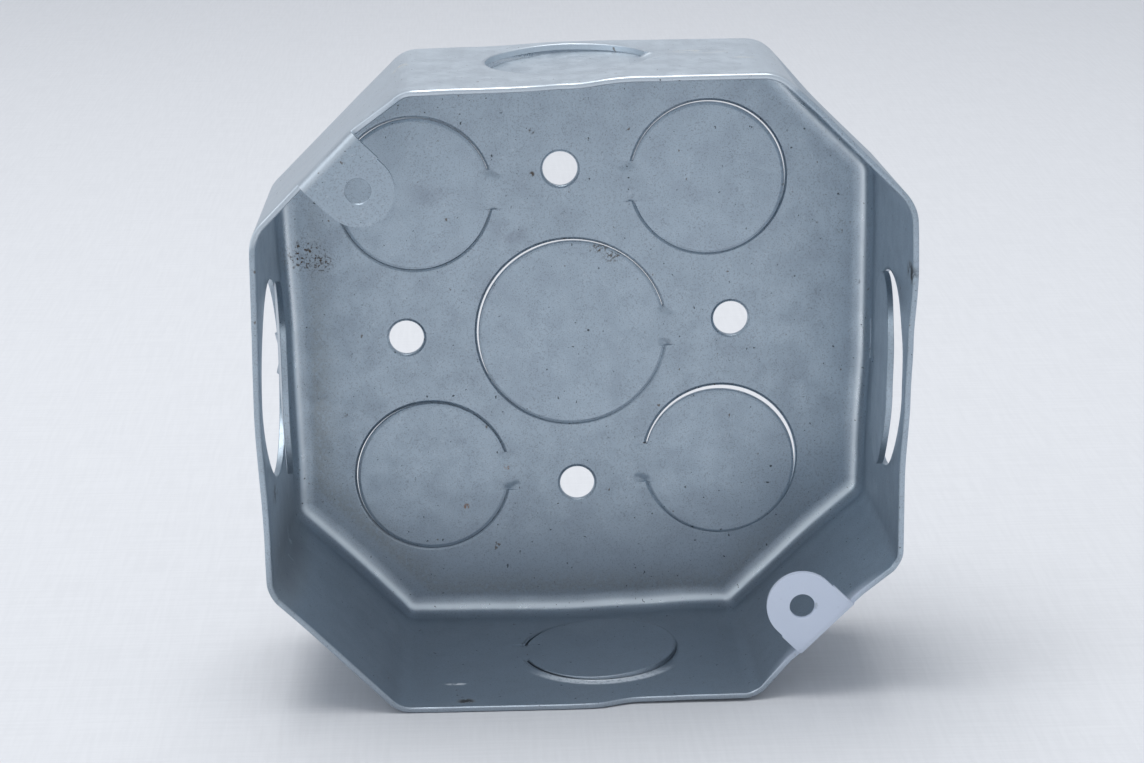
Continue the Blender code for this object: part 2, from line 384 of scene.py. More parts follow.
def drawn_shell():
    """The pressed box before its holes: an outer and an inner skin, joined at the rim, with both ears."""
    bm = bmesh.new()
    drops = [rim_drop(p) for p in outline(0.0)]
    first_rings = []
    for surface_inset in (0.0, SHEET):
        rings = skin_rings(bm, surface_inset, drops)
        for near, far in zip(rings, rings[1:]):
            bridge(bm, near, far)
        bm.faces.new(rings[-1])
        first_rings.append(rings[0])
    bridge(bm, *first_rings)
    bm.normal_update()
    for index in EAR_WALLS:
        fold_ear(bm, index)
    return new_solid("box_skin", bm)


# ---------------------------------------------------------------- holes


def base_point(x, z):
    """A point of the inner face of the base, in the axes of the hole pattern, which sits askew."""
    cos, sin = math.cos(PATTERN_TURN), math.sin(PATTERN_TURN)
    return Vector((
        PATTERN_SHIFT[0] + x * cos - z * sin,
        INNER_BASE,
        MIDDLE + PATTERN_SHIFT[1] + x * sin + z * cos,
    ))


MOUNT_POINTS = [base_point(x * MOUNT_REACH, z * MOUNT_REACH) for x, z in ((0, 1), (-1, 0), (1, 0), (0, -1))]


# name, diameter, centre on the inner face, outward direction, direction of the tie
KNOCKOUTS = (
    ("centre", LARGE_KNOCKOUT, base_point(0.0004, -0.0006), AWAY, RIGHT),
    ("upper_left", SMALL_KNOCKOUT, base_point(-CORNER_REACH, CORNER_REACH), AWAY, RIGHT),
    ("upper_right", SMALL_KNOCKOUT, base_point(CORNER_REACH, CORNER_REACH), AWAY, LEFT),
    ("lower_left", SMALL_KNOCKOUT, base_point(-CORNER_REACH, -CORNER_REACH), AWAY, RIGHT),
    ("lower_right", SMALL_KNOCKOUT, base_point(CORNER_REACH, -CORNER_REACH), AWAY, LEFT),
    ("top", SMALL_KNOCKOUT, Vector((-0.0015, 0.0015, MIDDLE + INNER_Z)), UP, RIGHT),
    ("bottom", SMALL_KNOCKOUT, Vector((0.0025, 0.0016, MIDDLE - INNER_Z)), DOWN, LEFT),
    ("left", LARGE_KNOCKOUT, Vector((-INNER_X, -0.0009, MIDDLE + 0.0003)), LEFT, AWAY),
    ("right", LARGE_KNOCKOUT, Vector((INNER_X, -0.0009, MIDDLE)), RIGHT, AWAY),
)

# how each disc hangs on its tie: degrees open, then metres sunk, shear gap, shift to the tie, droop
HANG = {
    "centre": (1.5, 0.0, 0.00013, 0.00010, 0.00012),
    "upper_left": (0.8, 0.0, 0.00009, 0.00002, 0.00003),
    "upper_right": (1.8, 0.0, 0.00011, 0.00006, 0.00010),
    "lower_left": (1.2, 0.0, 0.00009, 0.00006, 0.0),
    "lower_right": (3.0, 0.0, 0.00018, 0.00010, 0.00034),
    "top": (1.5, 0.00085, 0.00018, 0.0, 0.0),
    "bottom": (2.0, 0.0, 0.00020, -0.00016, 0.0),
    "left": (7.5, 0.0, 0.00030, -0.00012, 0.0),
    "right": (4.3, 0.0, 0.00022, 0.0, 0.0),
}

# ties whose two pinch marks have changed places
MIRRORED_TIES = ("upper_left", "lower_right", "centre", "top", "right")


def tie_frame(row):
    """(pivot on the inner face, hinge direction, tie direction, outward direction) of a knock-out."""
    _, diameter, centre, outward, tie = row
    if outward == AWAY:
        tie = Matrix.Rotation(-PATTERN_TURN, 3, "Y") @ tie
    return centre + tie * diameter / 2, tie.cross(outward).normalized(), tie, outward


def punched(radius):
    """Profile of a punched hole through the sheet, with both edges broken; height 0 is the inner face."""
    edge, past = EDGE_BREAK, CUT_PAST
    return (
        (radius + edge + past, -past), (radius + edge, 0.0), (radius, edge),
        (radius, SHEET - edge), (radius + edge, SHEET), (radius + edge + past, SHEET + past),
    )


def tapped(radius):
    """Profile of an ear's screw hole, with one groove for each turn of its thread."""
    chamfer, groove = 0.0001, radius + THREAD_DEPTH
    return (
        (radius + 0.0021, -CUT_PAST), (radius + chamfer, 0.0), (radius, chamfer),
        (groove, chamfer + THREAD_PITCH / 2), (radius, chamfer + THREAD_PITCH),
        (groove, chamfer + THREAD_PITCH * 1.5), (radius, 0.00085),
        (radius + 0.0021, SHEET + CUT_PAST),
    )


def hole_cutters():
    bm = bmesh.new()
    for point in MOUNT_POINTS:
        lathe(bm, punched(MOUNT_HOLE / 2), point, AWAY, MOUNT_STEPS)
    for _, diameter, centre, outward, _ in KNOCKOUTS:
        lathe(bm, punched(diameter / 2), centre, outward, DISC_STEPS)
    for index in EAR_WALLS:
        normal, _ = wall_frame(index)
        front = FRONT + EAR_FOLD - SHEET - EAR_BEND
        point = normal * EAR_SPACING / 2 + Vector((0.0, front, MIDDLE))
        lathe(bm, tapped(EAR_HOLE / 2), point, AWAY, EAR_HOLE_STEPS)
    return new_solid("hole_cutters", bm)


def add_notch(bm, row):
    """The block of sheet that a tie takes the place of."""
    pivot, hinge, tie, outward = tie_frame(row)
    middle = pivot + outward * SHEET / 2
    block(bm, middle, tie, hinge, outward, TIE_HALF_LENGTH, TIE_HALF_WIDTH, CUT_PAST)


def notch_cutters():
    bm = bmesh.new()
    for row in KNOCKOUTS:
        add_notch(bm, row)
    return new_solid("notch_cutters", bm)


def ear_trimmer():
    """Rounds both ear tips and leaves a small shoulder beside the fold."""
    bm = bmesh.new()
    past_tip, shoulder, half_depth = 0.001, 0.0012, 0.004
    wide, reach, radius = EAR_WIDTH / 2 + past_tip, EAR_TIP_RADIUS + past_tip, EAR_TIP_RADIUS - 0.00018
    plan = [(wide, -shoulder), (wide, reach), (-wide, reach), (-wide, -shoulder), (-radius, -shoulder)]
    for step in range(TIP_STEPS + 1):
        turn = math.radians(180 - 180 * step / TIP_STEPS)
        plan.append((radius * math.cos(turn), radius * math.sin(turn)))
    plan.append((radius, -shoulder))
    for index in EAR_WALLS:
        normal, along = wall_frame(index)
        hole = normal * EAR_SPACING / 2 + Vector((0.0, FRONT + EAR_FOLD, MIDDLE))
        flat = [hole + along * u - normal * v for u, v in plan]
        front = [bm.verts.new(point - AWAY * half_depth) for point in flat]
        back = [bm.verts.new(point + AWAY * half_depth) for point in flat]
        bm.faces.new(front)
        bm.faces.new(back)
        bridge(bm, front, back)
    return new_solid("ear_trimmer", bm)


# ---------------------------------------------------------------- discs and ties


def settle(row, point, share=1.0):
    """Takes a point of the flat, closed knock-out to where the pushed disc hangs, share of the way."""
    pivot, hinge, tie, outward = tie_frame(row)
    degrees, sunk, _, shift, droop = HANG[row[0]]
    turn = -droop / (row[1] / 2) * share * (1 if hinge.z > 0 else -1)
    in_plane = Matrix.Rotation(turn, 3, outward) @ (point - pivot) + tie * shift * share
    flat = pivot + in_plane
    if outward != AWAY:
        pivot, flat = leaned(pivot), leaned(flat)
    opened = Matrix.Rotation(math.radians(degrees) * share, 3, hinge) @ (flat - pivot)
    return pivot + opened - outward * sunk * share


def disc_profile(radius):
    """Section of a knock-out disc, bulged a little towards the inside of the box."""
    dome = 0.00007
    radii = [(radius - EDGE_BREAK) * s / DISC_RINGS for s in range(1, DISC_RINGS + 1)]
    inner = [(r, -dome * (1 - (r / radius) ** 2)) for r in radii]
    outer = [(r, SHEET - dome * (1 - (r / radius) ** 2)) for r in reversed(radii)]
    return inner + [(radius, EDGE_BREAK), (radius, SHEET - EDGE_BREAK)] + outer


def disc(row):
    """A knock-out disc where it hangs, with a notch for its tie and sheared steel round its edge, except on
    the discs of the side walls.
    """
    name, diameter, centre, outward, _ = row
    radius = diameter / 2 - HANG[name][2]
    bm = bmesh.new()
    lathe(bm, disc_profile(radius), centre, outward, DISC_STEPS)
    for face in bm.faces:
        offset = face.calc_center_median() - centre
        offset -= outward * offset.dot(outward)
        sheared = offset.length > radius - EDGE_BREAK * 0.9 and outward not in (LEFT, RIGHT)
        face.material_index = CUT if sheared else PLAIN
    obj = new_solid("disc_" + name, bm)
    cutter = bmesh.new()
    add_notch(cutter, row)
    cut_away(obj, new_solid("disc_notch", cutter))
    for vertex in obj.data.vertices:
        vertex.co = settle(row, vertex.co)
    return obj


def pinch(u, v, start, end, width):
    """Depth share, at (u, v), of a pinch mark that starts wide and thins out towards its end."""
    along = Vector((end[0] - start[0], end[1] - start[1]))
    offset = Vector((u - start[0], v - start[1]))
    share = max(0.0, min(1.0, offset.dot(along) / along.length_squared))
    distance = (offset - along * share).length
    return math.exp(-((distance / (width * (1 - 0.45 * share))) ** 2)) * (1 - share) ** 0.7


def dent_depth(u, v):
    """How deep the two pinch marks are at (u, v) of a tie: one points to the sheet, one to the disc."""
    end = TIE_HALF_WIDTH
    to_sheet = pinch(u, v, (0.0, end), (0.0016, end * 0.62), 0.00082)
    to_disc = pinch(u, v, (0.0, -end), (-0.0012, -end * 0.66), 0.00078)
    fade = ease((TIE_HALF_LENGTH - abs(u)) / 0.0009)
    return PINCH_DEPTH * (to_sheet + to_disc) * fade


def grid_edge(grid):
    """The vertices round the outside of a grid, in order."""
    rows, columns = len(grid) - 1, len(grid[0]) - 1
    loop = [grid[0][j] for j in range(columns + 1)]
    loop += [grid[i][columns] for i in range(1, rows + 1)]
    loop += [grid[rows][j] for j in range(columns - 1, -1, -1)]
    loop += [grid[i][0] for i in range(rows - 1, 0, -1)]
    return loop


def tie(row):
    """The uncut web of a knock-out: a small block of sheet with a pinch mark at each end of the shear."""
    name = row[0]
    pivot, hinge, direction, outward = tie_frame(row)
    flip = 1 if name in MIRRORED_TIES else -1
    bm = bmesh.new()
    loops = []
    for height in (0.0, SHEET):
        grid = []
        for i in range(TIE_ROWS + 1):
            u = TIE_HALF_LENGTH * (2 * i / TIE_ROWS - 1)
            bend = ease(0.5 - u / (2 * TIE_BEND))
            line = []
            for j in range(TIE_COLUMNS + 1):
                v = TIE_HALF_WIDTH * (2 * j / TIE_COLUMNS - 1)
                lift = outward * (height + dent_depth(u, v * flip))
                local = direction * u + hinge * v + lift
                line.append(bm.verts.new(settle(row, pivot + local, bend)))
            grid.append(line)
        for i in range(TIE_ROWS):
            for j in range(TIE_COLUMNS):
                bm.faces.new((grid[i][j], grid[i + 1][j], grid[i + 1][j + 1], grid[i][j + 1]))
        loops.append(grid_edge(grid))
    bridge(bm, *loops)
    return new_solid("tie_" + name, bm)


# ---------------------------------------------------------------- materials


class Nodes:
    """Short-hand for building a node tree."""

    def __init__(self, tree):
        self.tree = tree

    def add(self, kind, inputs=(), **settings):
        node = self.tree.nodes.new(kind)
        for key, value in settings.items():
            setattr(node, key, value)
        for key, value in dict(inputs).items():
            self.put(value, node.inputs[key])
        return node

    def put(self, value, socket):
        if isinstance(value, bpy.types.NodeSocket):
            self.tree.links.new(value, socket)
        else:
            socket.default_value = value

    def math(self, operation, a, b=0.0, clamp=False):
        node = self.add("ShaderNodeMath", {0: a, 1: b}, operation=operation, use_clamp=clamp)
        return node.outputs[0]

    def noise(self, vector, scale, detail=2.0, roughness=0.5, distortion=0.0):
        node = self.add("ShaderNodeTexNoise", {
            "Vector": vector, "Scale": scale, "Detail": detail,
            "Roughness": roughness, "Distortion": distortion,
        })
        return node.outputs["Fac"]

    def ramp(self, value, low, high, out_low=0.0, out_high=1.0):
        node = self.add("ShaderNodeMapRange", {
            "Value": value, "From Min": low, "From Max": high, "To Min": out_low, "To Max": out_high,
        }, interpolation_type="SMOOTHSTEP")
        return node.outputs["Result"]

    def mix(self, share, a, b):
        """Colour a where share is 0, colour b where it is 1."""
        node = self.add("ShaderNodeMix", data_type="RGBA")
        self.put(share, node.inputs["Factor"])
        self.put(a, node.inputs[6])
        self.put(b, node.inputs[7])
        return node.outputs[2]

    def tint(self, color, mask, strength, tinted):
        """The colour, turned towards another one where the mask is 1."""
        return self.mix(self.math("MULTIPLY", mask, strength), color, tinted)

    def stretch(self, vector, scale):
        node = self.add("ShaderNodeMapping", {"Vector": vector, "Scale": scale})
        return node.outputs["Vector"]

    def spot(self, vector, centre, radii):
        """1 in the middle of an ellipsoid, falling to 0 at its edge."""
        shifted = self.add("ShaderNodeVectorMath", {0: vector, 1: centre}, operation="SUBTRACT")
        scale = tuple(1.0 / r for r in radii)
        scaled = self.add("ShaderNodeVectorMath", {0: shifted.outputs[0], 1: scale}, operation="MULTIPLY")
        length = self.add("ShaderNodeVectorMath", {0: scaled.outputs[0]}, operation="LENGTH")
        return self.ramp(length.outputs["Value"], 0.35, 1.0, 1.0, 0.0)


ZINC_DARK, ZINC_LIGHT, ZINC_VIOLET = (0.436, 0.516, 0.586), (0.467, 0.551, 0.624), (0.42, 0.455, 0.53)
PALE_GRAIN = (0.66, 0.72, 0.77, 1.0)
DARK_GRAIN = (0.25, 0.275, 0.32, 1.0)
SHADE = (0.25, 0.28, 0.33, 1.0)
# painted light for the walls that face up to the lamp
PAINTED_UPPER_LIGHT = (0.76, 0.815, 0.86, 1.0)
BROWN = (0.27, 0.26, 0.225, 1.0)
# painted highlight for the base fillet
FILLET_HIGHLIGHT = (0.80, 0.86, 0.90, 1.0)
# painted highlight for the pushed-up lip of a hole
LIP_HIGHLIGHT = (0.88, 0.92, 0.96, 1.0)
STEEL_DARK, STEEL_LIGHT = (0.47, 0.48, 0.46, 1.0), (0.62, 0.62, 0.59, 1.0)
STEEL_TORN = (0.36, 0.33, 0.29, 1.0)
CLOTH_DARK, CLOTH_LIGHT = (0.68, 0.685, 0.705, 1.0), (0.71, 0.715, 0.735, 1.0)

RUST = (0.12, 0.075, 0.040, 1.0)
SOOT = (0.018, 0.019, 0.021, 1.0)
OCHRE = (0.46, 0.38, 0.24, 1.0)
ORANGE = (0.42, 0.20, 0.08, 1.0)
MAUVE = (0.30, 0.29, 0.36, 1.0)
CHALK = (0.85, 0.87, 0.90, 1.0)
# painted light for the lower-right ear
PAINTED_EAR_LIGHT = (0.68, 0.74, 0.86, 1.0)
# painted shade for the lower-left corner inside the box
PAINTED_CORNER_SHADE = (0.17, 0.20, 0.235, 1.0)

# stains, and painted shade and painted light: centre, radii, colour, strength, how much the grain breaks the
# patch up, and the grain's scale
STAINS_AND_PAINTED_LIGHT = (
    ((-0.0408, 0.0168, 0.0603), (0.0046, 0.0060, 0.0036), RUST, 0.95, 0.74, 2300),
    ((-0.0386, 0.0180, 0.0590), (0.0024, 0.0030, 0.0018), RUST, 0.85, 0.66, 2600),
    ((0.0036, 0.0180, 0.0606), (0.0020, 0.0030, 0.0009), RUST, 0.85, 0.42, 2400),
    ((0.0057, 0.0180, 0.0593), (0.0022, 0.0030, 0.0012), RUST, 0.70, 0.48, 2400),
    ((-0.0063, 0.0180, 0.0788), (0.0006, 0.0020, 0.0007), RUST, 0.90, 0.20, 1500),
    ((-0.0063, 0.0180, 0.0722), (0.0005, 0.0020, 0.0006), RUST, 0.90, 0.20, 1500),
    ((-0.0098, 0.0180, 0.0632), (0.0034, 0.0030, 0.0026), MAUVE, 0.16, 0.00, 260),
    ((-0.0218, 0.0180, 0.0705), (0.0050, 0.0030, 0.0040), MAUVE, 0.12, 0.00, 200),
    ((-0.0108, 0.0180, 0.0260), (0.0006, 0.0020, 0.0006), ORANGE, 0.90, 0.10, 1500),
    ((-0.0172, 0.0180, 0.0198), (0.0006, 0.0020, 0.0006), ORANGE, 0.90, 0.10, 1500),
    ((-0.0357, 0.0180, 0.0354), (0.0008, 0.0020, 0.0010), RUST, 0.80, 0.30, 1300),
    ((0.0414, 0.0175, 0.0634), (0.0020, 0.0030, 0.0022), RUST, 0.70, 0.75, 1300),
    ((0.0433, 0.0165, 0.0546), (0.0007, 0.0030, 0.0007), SOOT, 0.80, 0.20, 1300),
    ((-0.0178, -0.0170, 0.0009), (0.0017, 0.0013, 0.0016), SOOT, 0.95, 0.15, 800),
    ((-0.0192, -0.0105, 0.0009), (0.0024, 0.0006, 0.0010), CHALK, 0.80, 0.15, 800),
    # painted shade low on the inner left wall, by the lower-left corner
    ((-0.0450, 0.0020, 0.0150), (0.0050, 0.0300, 0.0170), PAINTED_CORNER_SHADE, 0.70, -0.80, 300),
    # painted light on the lower-right ear, which faces the front
    ((0.0315, -0.0168, 0.0146), (0.0140, 0.0050, 0.0140), PAINTED_EAR_LIGHT, 0.95, -0.80, 300),
    ((-0.0459, -0.0080, 0.0308), (0.0014, 0.0060, 0.0026), SOOT, 0.95, 0.10, 700),
    ((0.0464, -0.0165, 0.0641), (0.0018, 0.0034, 0.0020), SOOT, 0.90, 0.10, 700),
    ((0.0181, 0.0040, 0.0920), (0.0070, 0.0030, 0.0014), OCHRE, 0.45, 0.35, 500),
    ((0.0246, -0.0019, 0.0920), (0.0040, 0.0014, 0.0014), OCHRE, 0.55, 0.35, 600),
    ((-0.0262, 0.0043, 0.0918), (0.0030, 0.0030, 0.0020), OCHRE, 0.45, 0.35, 600),
)


def scaled(color, factor):
    return tuple(c * factor for c in color[:3]) + (1.0,)


def new_material(name):
    """(material, its nodes, its shader)"""
    mat = bpy.data.materials.new(name)
    mat.use_nodes = True
    return mat, Nodes(mat.node_tree), mat.node_tree.nodes["Principled BSDF"]


def grain_color(n, broad, medium, fine, grain, brightness):
    """Plain zinc: broad patches, a violet cast, and a grain of pale and dark dots."""
    dark, light = scaled(ZINC_DARK, brightness), scaled(ZINC_LIGHT, brightness)
    color = n.mix(n.ramp(broad, 0.25, 0.75), dark, light)
    color = n.tint(color, n.ramp(medium, 0.45, 0.80), 0.22, scaled(ZINC_VIOLET, brightness))
    color = n.tint(color, n.ramp(fine, 0.54, 0.78), 0.34, PALE_GRAIN)
    return n.tint(color, n.ramp(grain, 0.50, 0.70), 0.60, DARK_GRAIN)


def zone_color(n, axes, fine, color):
    """Tints by place: painted shade low down, painted light on the top and upper-left outer walls, which
    face the lamp, and a brownish band beside the base fillet.
    """
    height_up = n.math("SUBTRACT", axes[2], MIDDLE)
    color = n.tint(color, n.ramp(height_up, -0.040, -0.019, 1.0, 0.0), 0.42, SHADE)
    # painted light on the top and upper-left walls
    left_up = n.math("MULTIPLY", n.math("SUBTRACT", height_up, axes[0]), 0.7071)
    upper_light = n.math("MAXIMUM", n.ramp(height_up, 0.0440, 0.0452), n.ramp(left_up, 0.0493, 0.0501))
    color = n.tint(color, upper_light, 0.62, PAINTED_UPPER_LIGHT)
    out_x, out_z = n.math("ABSOLUTE", axes[0]), n.math("ABSOLUTE", height_up)
    corner = n.math("MULTIPLY", n.math("ADD", out_x, out_z), 0.64)
    outward = n.math("MAXIMUM", n.math("MAXIMUM", out_x, out_z), corner)
    low_left = n.math("SUBTRACT", n.math("MULTIPLY", axes[0], -0.6), height_up)
    brown = n.math("MULTIPLY", n.ramp(outward, 0.0350, 0.0425), n.ramp(low_left, -0.015, 0.035))
    brown = n.math("MULTIPLY", brown, n.ramp(outward, 0.0396, 0.0412, 1.0, 0.15))
    brown = n.math("MULTIPLY", brown, n.ramp(fine, 0.25, 0.60))
    return n.tint(color, brown, 0.55, BROWN)


def fillet_highlight_band(n, axes):
    """1 along the painted highlight line of the base fillet, where its surface has turned by one angle."""
    normal = n.add("ShaderNodeSeparateXYZ", {0: n.add("ShaderNodeNewGeometry").outputs["Normal"]})
    off_highlight = n.math("ABSOLUTE", n.math("ADD", normal.outputs[1], 0.82))
    return n.math("MULTIPLY", n.ramp(off_highlight, 0.02, 0.16, 1.0, 0.0), n.ramp(axes[1], 0.0120, 0.0140))


def speck_color(n, place, color):
    """Scattered dark specks and rusty dots."""
    specks = n.ramp(n.noise(place, 1500.0, 2.0, 0.5), 0.715, 0.76)
    color = n.tint(color, specks, 0.8, SOOT)
    dots = n.ramp(n.noise(n.stretch(place, (1.0, 1.0, 0.8)), 900.0, 2.0, 0.5), 0.735, 0.78)
    return n.tint(color, dots, 0.7, RUST)


def stained_and_painted(n, place, stains_and_light, color, rough, metal):
    """(colour, roughness, metalness) with the stains, the painted shade and the painted light laid over
    them.
    """
    for centre, radii, stain_or_light, strength, share, scale in stains_and_light:
        patch = n.spot(place, centre, radii)
        broken = n.ramp(n.noise(place, float(scale), 3.0, 0.6), 0.38 + 0.2 * share, 0.52 + 0.2 * share)
        cover = n.math("MULTIPLY", n.math("MULTIPLY", patch, broken), strength, clamp=True)
        color = n.mix(cover, color, stain_or_light)
        rough = n.math("ADD", rough, n.math("MULTIPLY", cover, 0.35))
        metal = n.math("SUBTRACT", metal, n.math("MULTIPLY", cover, 0.8), clamp=True)
    return color, rough, metal


def lip_highlight_mask(n, apart, radius, y, fine):
    """1 along the painted highlight on the lip round a hole whose edge was pushed up, on the side of the
    rim.
    """
    off_lip = n.math("ABSOLUTE", n.math("SUBTRACT", apart, radius + 0.0009))
    near_rim = n.ramp(y, -0.0100, -0.0050, 1.0, 0.0)
    lip_highlight = n.math("MULTIPLY", n.ramp(off_lip, 0.0004, 0.0012, 1.0, 0.0), near_rim)
    return n.math("MULTIPLY", lip_highlight, n.ramp(fine, 0.30, 0.55, 0.45, 1.0))


def edge_ramp(n, apart, start, end, height):
    """0 at the distance start, rising or falling to height at the distance end."""
    if start < end:
        return n.ramp(apart, start, end, 0.0, height)
    return n.ramp(apart, end, start, height, 0.0)


def zinc(name, stains_and_light=(), rolled=(), brightness=1.0):
    """Galvanized sheet. rolled holds an edge per row: (centre, start, end, height).

    The height is reached at the distance end from the centre; below 0 it is drawn in, above 0 pushed up.
    """
    mat, n, shader = new_material(name)
    place = n.add("ShaderNodeTexCoord").outputs["Object"]
    axes = n.add("ShaderNodeSeparateXYZ", {0: place}).outputs
    broad = n.noise(place, 30.0, 3.0, 0.55, 0.4)
    medium = n.noise(place, 260.0, 4.0, 0.6)
    fine = n.noise(place, 1700.0, 3.0, 0.65)
    grain = n.noise(place, 5200.0, 2.0, 0.6)
    drawn = n.noise(n.stretch(place, (1.0, 0.06, 1.0)), 900.0, 3.0, 0.6)
    highlight_band = fillet_highlight_band(n, axes)
    color = grain_color(n, broad, medium, fine, grain, brightness)
    color = zone_color(n, axes, fine, color)
    # painted highlight along the base fillet
    color = n.tint(color, highlight_band, 0.75, FILLET_HIGHLIGHT)
    color = speck_color(n, place, color)
    rough = n.ramp(medium, 0.3, 0.7, 0.34, 0.46)
    rough = n.math("ADD", rough, n.math("MULTIPLY", n.math("SUBTRACT", drawn, 0.5), 0.10))
    rough = n.math("SUBTRACT", rough, n.math("MULTIPLY", highlight_band, 0.10))
    # lays stains, painted shade and painted light over the zinc
    color, rough, metal = stained_and_painted(n, place, stains_and_light, color, rough, 0.92)
    relief = n.math("ADD", n.math("MULTIPLY", fine, 0.30), n.math("MULTIPLY", medium, 0.22))
    relief = n.math("ADD", relief, n.math("MULTIPLY", drawn, 0.3))
    relief = n.math("ADD", relief, n.math("MULTIPLY", broad, 0.7))
    bump = n.add("ShaderNodeBump", {"Height": relief, "Strength": 0.35, "Distance": 0.00012})
    normal = bump.outputs["Normal"]
    edges = None
    for centre, start, end, height in rolled:
        apart = n.add("ShaderNodeVectorMath", {0: place, 1: tuple(centre)}, operation="DISTANCE")
        apart = apart.outputs["Value"]
        if height > 0:
            lip_highlight = lip_highlight_mask(n, apart, end, axes[1], fine)
            # painted highlight on the pushed-up lip
            color = n.mix(lip_highlight, color, LIP_HIGHLIGHT)
            metal = n.math("SUBTRACT", metal, n.math("MULTIPLY", lip_highlight, 0.5), clamp=True)
        edge = edge_ramp(n, apart, start, end, height)
        edges = edge if edges is None else n.math("ADD", edges, edge)
    if edges is not None:
        edge_bump = n.add("ShaderNodeBump", {
            "Height": edges, "Normal": normal, "Strength": 0.9, "Distance": 0.00022,
        })
        normal = edge_bump.outputs["Normal"]
    n.put(color, shader.inputs["Base Color"])
    n.put(rough, shader.inputs["Roughness"])
    n.put(metal, shader.inputs["Metallic"])
    n.put(normal, shader.inputs["Normal"])
    return mat


def bare_steel():
    """Where the sheet is cut through there is no zinc, only sheared steel."""
    mat, n, shader = new_material("bare_steel")
    place = n.add("ShaderNodeTexCoord").outputs["Object"]
    patchy = n.noise(place, 420.0, 3.0, 0.6)
    torn = n.noise(place, 3600.0, 2.0, 0.6)
    color = n.mix(n.ramp(patchy, 0.35, 0.7), STEEL_DARK, STEEL_LIGHT)
    color = n.tint(color, n.ramp(torn, 0.5, 0.8), 0.4, STEEL_TORN)
    bump = n.add("ShaderNodeBump", {"Height": torn, "Strength": 0.3, "Distance": 0.00006})
    n.put(color, shader.inputs["Base Color"])
    n.put(n.ramp(patchy, 0.3, 0.7, 0.30, 0.48), shader.inputs["Roughness"])
    n.put(bump.outputs["Normal"], shader.inputs["Normal"])
    shader.inputs["Metallic"].default_value = 0.85
    return mat


def cloth():
    """Fine pale weave."""
    mat, n, shader = new_material("cloth")
    place = n.add("ShaderNodeTexCoord").outputs["Object"]
    warp = n.noise(n.stretch(place, (1.0, 0.05, 1.0)), 1300.0, 2.0)
    weft = n.noise(n.stretch(place, (0.05, 1.0, 1.0)), 1300.0, 2.0)
    weave = n.math("ADD", warp, weft)
    color = n.mix(n.ramp(weave, 0.7, 1.3), CLOTH_DARK, CLOTH_LIGHT)
    bump = n.add("ShaderNodeBump", {"Height": weave, "Strength": 0.14, "Distance": 0.0002})
    n.put(color, shader.inputs["Base Color"])
    shader.inputs["Roughness"].default_value = 0.95
    shader.inputs["Specular IOR Level"].default_value = 0.1
    n.put(bump.outputs["Normal"], shader.inputs["Normal"])
    return mat


# ---------------------------------------------------------------- build the object

# centre on the inner face, axis, radius
HOLES = [(centre, outward, diameter / 2) for _, diameter, centre, outward, _ in KNOCKOUTS]
HOLES += [(centre, AWAY, MOUNT_HOLE / 2) for centre in MOUNT_POINTS]


def mark_cut_faces(obj, sheared):
    """Gives the walls of the sheared holes the bare steel slot."""
    slack = 0.0003
    for polygon in obj.data.polygons:
        for centre, axis, radius in sheared:
            offset = polygon.center - centre
            height = offset.dot(axis)
            near = -slack < height < SHEET + slack
            if near and (offset - axis * height).length < radius + EDGE_BREAK * 1.5:
                if abs(polygon.normal.dot(axis)) < 0.9:
                    polygon.material_index = CUT


def rolled_edges():
    """The edges of the holes, drawn in by the punch, and pushed up at the lower wall's hole."""
    edges = []
    for centre, axis, radius in HOLES:
        place = centre if axis == AWAY else leaned(centre)
        edges.append((place, radius + 0.00045, radius, 1.0 if axis == DOWN else -1.0))
    return edges


def build_skin(steel):
    skin = drawn_shell()
    cut_away(skin, ear_trimmer())
    cut_away(skin, hole_cutters())
    mark_cut_faces(skin, [hole for hole in HOLES if hole[1] not in (LEFT, RIGHT)])
    cut_away(skin, notch_cutters())
    for vertex in skin.data.vertices:
        vertex.co = leaned(vertex.co)
    smooth(skin)
    skin.data.materials.clear()
    skin.data.materials.append(zinc("zinc_box", STAINS_AND_PAINTED_LIGHT, rolled_edges()))
    skin.data.materials.append(steel)
    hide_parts("shell")
    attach(skin, "box")


def build_knockout(row, steel):
    """A disc that rides its own body, and its tie, which is built bent from the box to the hanging disc and
    fixed in place.
    """
    name, diameter, centre, outward, _ = row
    node = "knockout_" + name
    near = [stain_or_light for stain_or_light in STAINS_AND_PAINTED_LIGHT if (Vector(stain_or_light[0]) - centre).length < diameter / 2 + 0.004]
    edge = (settle(row, centre), diameter / 2 - 0.0006, diameter / 2 - HANG[name][2], -0.5)
    plate = disc(row)
    smooth(plate)
    plate.data.materials.clear()
    plate.data.materials.append(zinc("zinc_" + name, near, [edge], 1.03))
    plate.data.materials.append(steel)
    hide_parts(node)
    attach(plate, node)
    web = tie(row)
    smooth(web, 50)
    web.data.materials.append(zinc("zinc_tie_" + name, near))
    pivot, _, direction, _ = tie_frame(row)
    if outward != AWAY:
        pivot = leaned(pivot)
    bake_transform(web)


cut_edge_steel = bare_steel()
build_skin(cut_edge_steel)
for knockout in KNOCKOUTS:
    build_knockout(knockout, cut_edge_steel)

# ---------------------------------------------------------------- studio

LIGHT_AIM = Vector((0.0, 0.0, 0.04))
SENSOR_WIDTH, LENS = 36.0, 98.4
CAMERA_PLACE = (-0.0162, -0.44647, 0.1671)
CAMERA_AZIMUTH, CAMERA_ELEVATION, CAMERA_ROLL = -1.924, 15.343, -0.657

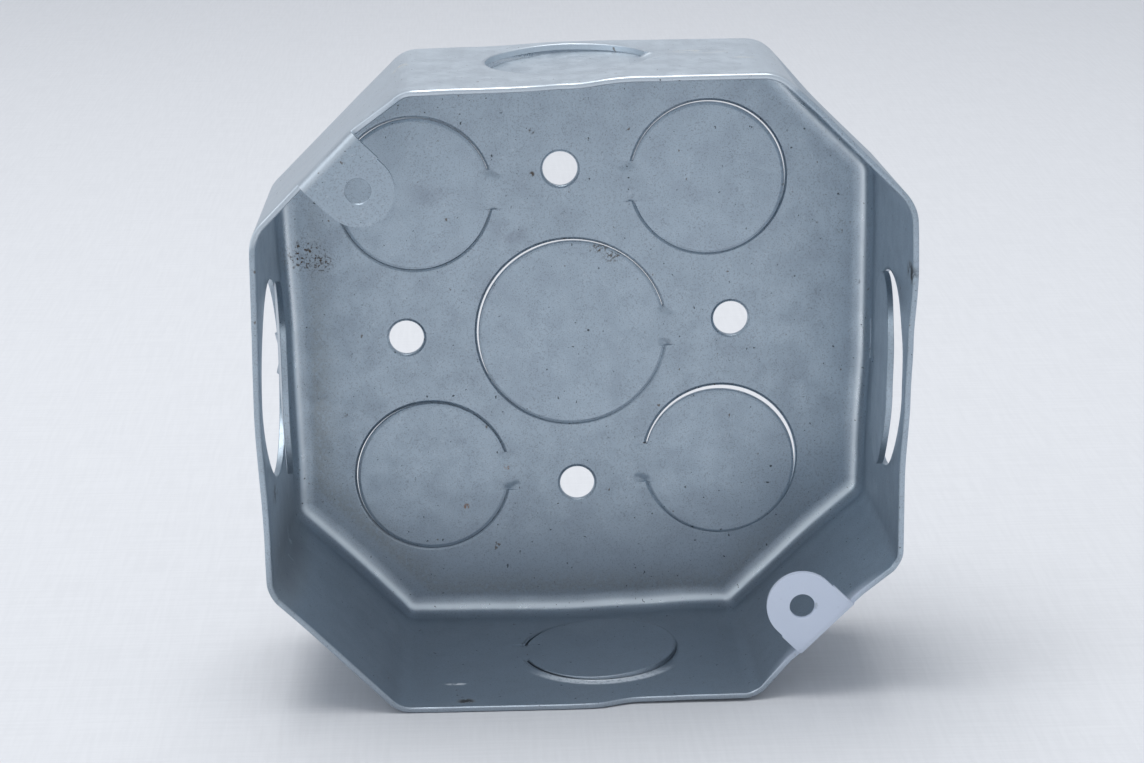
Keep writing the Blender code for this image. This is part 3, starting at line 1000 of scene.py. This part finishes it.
def sweep():
    """A pale cloth on the table that curves up behind the box."""
    bm = bmesh.new()
    half_width, radius, front, back, top, steps = 2.5, 0.5, -2.0, 1.3, 3.0, 16
    profile = [(front, 0.0), (back - radius, 0.0)]
    for s in range(1, steps + 1):
        turn = math.radians(90) * s / steps
        profile.append((back - radius + radius * math.sin(turn), radius * (1 - math.cos(turn))))
    profile.append((back, top))
    left = [bm.verts.new((-half_width, y, z)) for y, z in profile]
    right = [bm.verts.new((half_width, y, z)) for y, z in profile]
    for i in range(len(profile) - 1):
        bm.faces.new((left[i], right[i], right[i + 1], left[i + 1]))
    obj = link_mesh("cloth", bm)
    obj.data.shade_smooth()
    obj.data.materials.append(cloth())
    return obj


def area_light(name, place, size, power, color):
    """A rectangular light that faces the middle of the box."""
    data = bpy.data.lights.new(name, "AREA")
    data.shape = "RECTANGLE"
    data.size, data.size_y = size
    data.energy = power
    data.color = color
    obj = bpy.data.objects.new(name, data)
    bpy.context.scene.collection.objects.link(obj)
    obj.location = place
    obj.rotation_mode = "QUATERNION"
    obj.rotation_quaternion = (Vector(place) - LIGHT_AIM).to_track_quat("Z", "Y")


def light_room():
    """A pale grey-blue surrounding, one soft light overhead and a weaker one from the left."""
    world = bpy.data.worlds.new("studio")
    bpy.context.scene.world = world
    world.use_nodes = True
    background = world.node_tree.nodes["Background"]
    background.inputs["Color"].default_value = (0.85, 0.91, 0.99, 1.0)
    background.inputs["Strength"].default_value = 0.64
    area_light("overhead", (-0.12, 0.05, 1.0), (0.9, 0.55), 7.3, (1.0, 0.995, 0.985))
    area_light("left_window", (-1.1, -0.25, 0.6), (0.9, 0.9), 1.3, (0.90, 0.95, 1.0))


def add_camera():
    data = bpy.data.cameras.new("camera")
    data.sensor_width = SENSOR_WIDTH
    data.lens = LENS
    data.clip_start, data.clip_end = 0.01, 20.0
    camera = bpy.data.objects.new("camera", data)
    bpy.context.scene.collection.objects.link(camera)
    azimuth, elevation = math.radians(CAMERA_AZIMUTH), math.radians(CAMERA_ELEVATION)
    facing = Vector((
        -math.sin(azimuth) * math.cos(elevation),
        math.cos(azimuth) * math.cos(elevation),
        -math.sin(elevation),
    ))
    roll = Matrix.Rotation(math.radians(CAMERA_ROLL), 4, "Z").to_quaternion()
    camera.location = CAMERA_PLACE
    camera.rotation_mode = "QUATERNION"
    camera.rotation_quaternion = facing.to_track_quat("-Z", "Y") @ roll
    bpy.context.scene.camera = camera


sweep()
light_room()
add_camera()
bpy.context.scene.view_settings.view_transform = "Standard"
